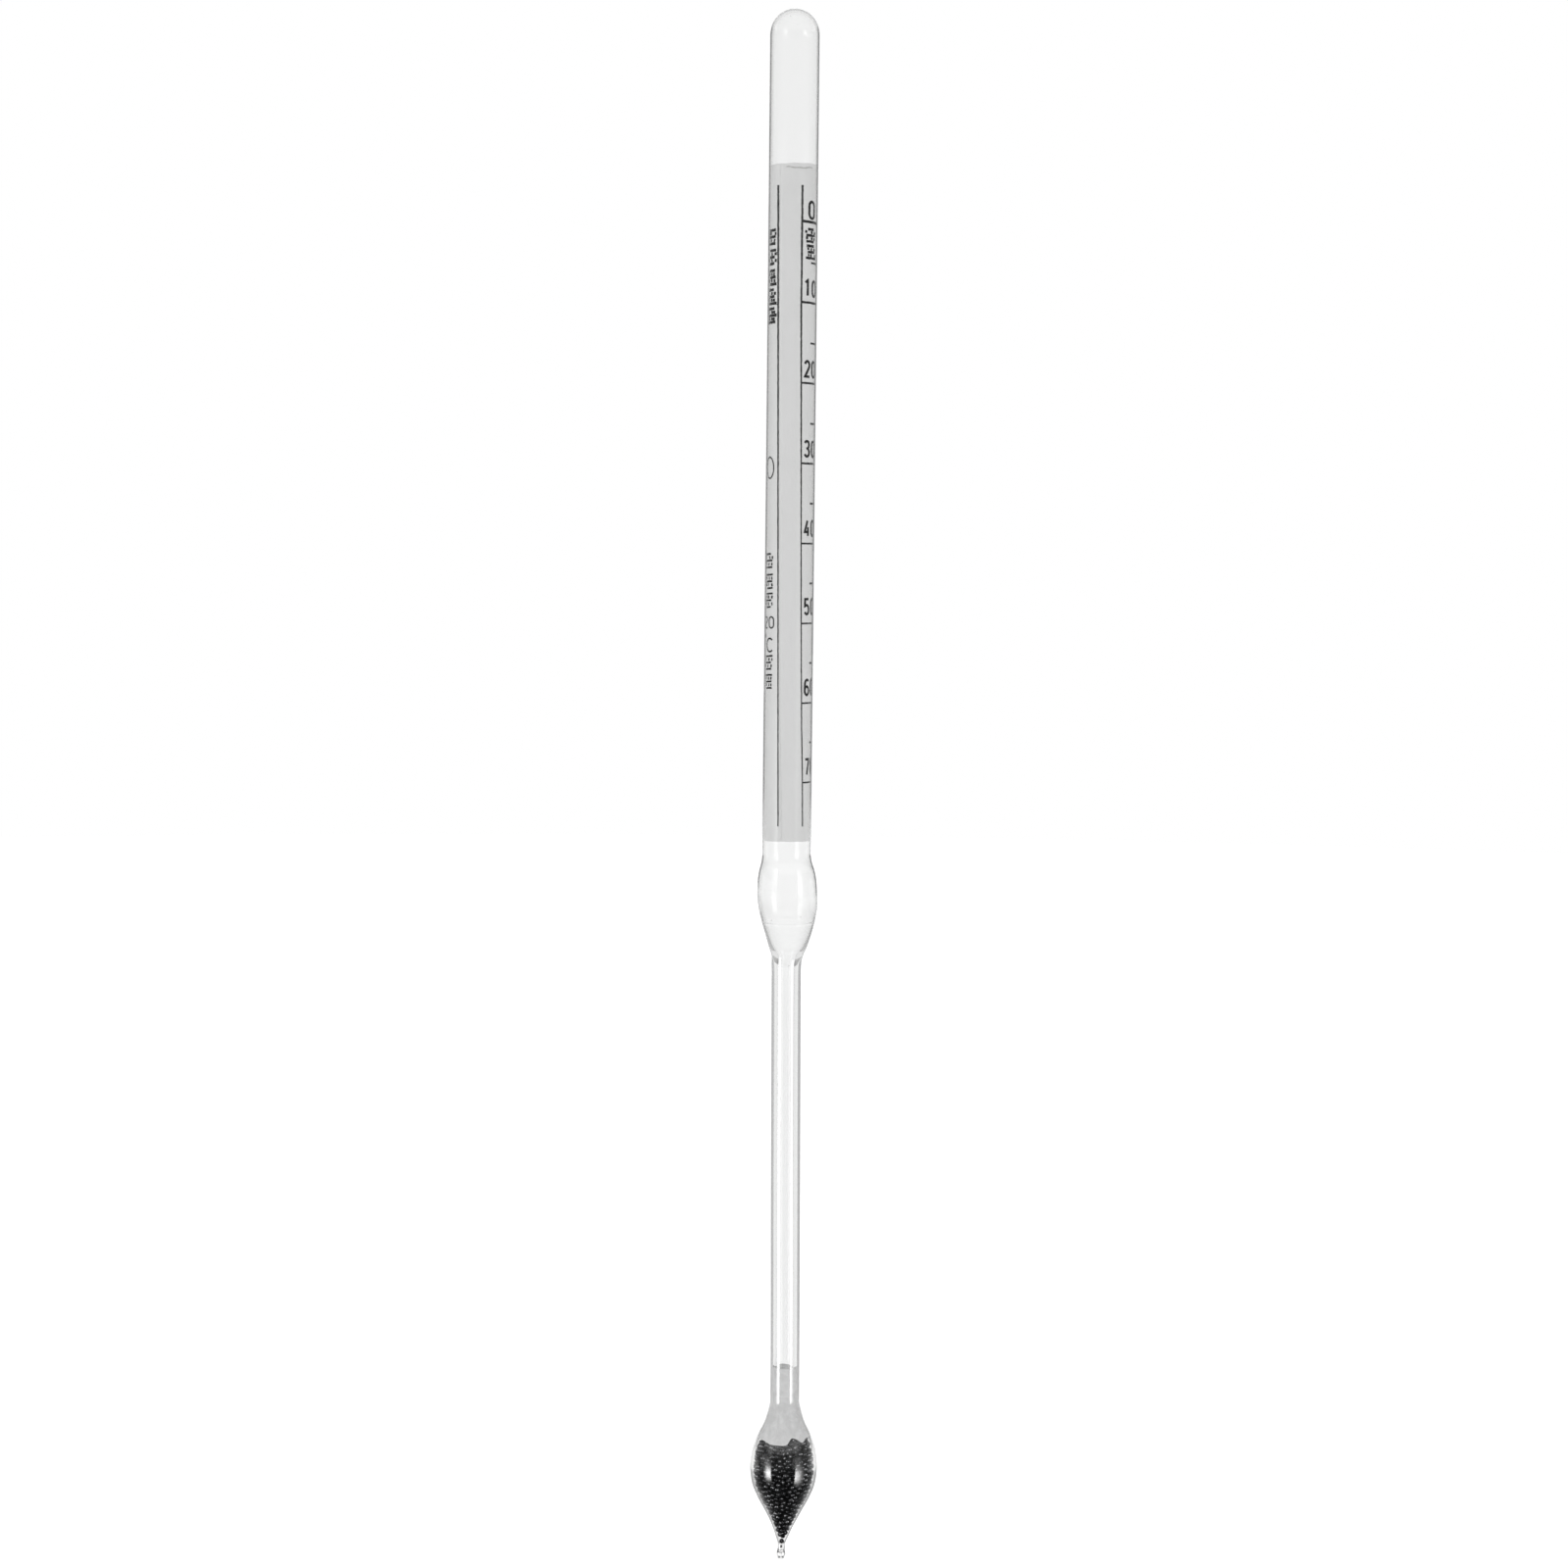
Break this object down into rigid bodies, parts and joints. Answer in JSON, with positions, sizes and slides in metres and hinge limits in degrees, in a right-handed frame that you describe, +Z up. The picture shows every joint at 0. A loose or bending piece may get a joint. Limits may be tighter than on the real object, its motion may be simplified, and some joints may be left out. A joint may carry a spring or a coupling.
{
  "type": "hydrometer",
  "caption": "Sealed glass hydrometer for heavy liquids: domed stem with a rolled paper scale, blown bulge, thick-walled narrow neck and a pear-shaped bulb of steel shot under a resin plug.",
  "frame": {"origin": "on the stem's axis at the 0 degree graduation, where the surface of pure water stands when the hydrometer floats", "axes": "+Z up the stem towards the dome; -Y is the side that shows the blank strip of the scale between its two border lines"},
  "size_m": [0.0122, 0.0122, 0.28],
  "materials": {
    "stem_glass": "clear fire-polished tubing, thin wall",
    "neck_glass": "clear fire-polished tubing, thick wall",
    "bulb_glass": "clear blown glass with a drawn tip",
    "scale_paper": "matt printed paper",
    "scale_glue": "thin smear of clear adhesive",
    "ballast_resin": "poured grey resin",
    "steel_shot": "blackened polished balls"
  },
  "bodies": {
    "root": {"stem_tube": "stem_glass", "neck_tube": "neck_glass", "ballast_bulb": "bulb_glass", "scale_paper": "scale_paper", "scale_glue": "scale_glue", "resin_plug": "ballast_resin", "shot_charge": "steel_shot", "shot_01": "steel_shot", "shot_02": "steel_shot", "shot_03": "steel_shot", "shot_04": "steel_shot", "shot_05": "steel_shot", "shot_06": "steel_shot", "shot_07": "steel_shot", "shot_08": "steel_shot", "shot_09": "steel_shot", "shot_10": "steel_shot", "shot_11": "steel_shot", "shot_12": "steel_shot", "shot_13": "steel_shot", "shot_14": "steel_shot", "shot_15": "steel_shot", "shot_16": "steel_shot", "shot_17": "steel_shot", "shot_18": "steel_shot", "shot_19": "steel_shot", "shot_20": "steel_shot", "shot_21": "steel_shot", "shot_22": "steel_shot", "shot_23": "steel_shot", "shot_24": "steel_shot", "shot_25": "steel_shot", "shot_26": "steel_shot", "shot_27": "steel_shot", "shot_28": "steel_shot", "shot_29": "steel_shot", "shot_30": "steel_shot"}
  },
  "joints": []
}
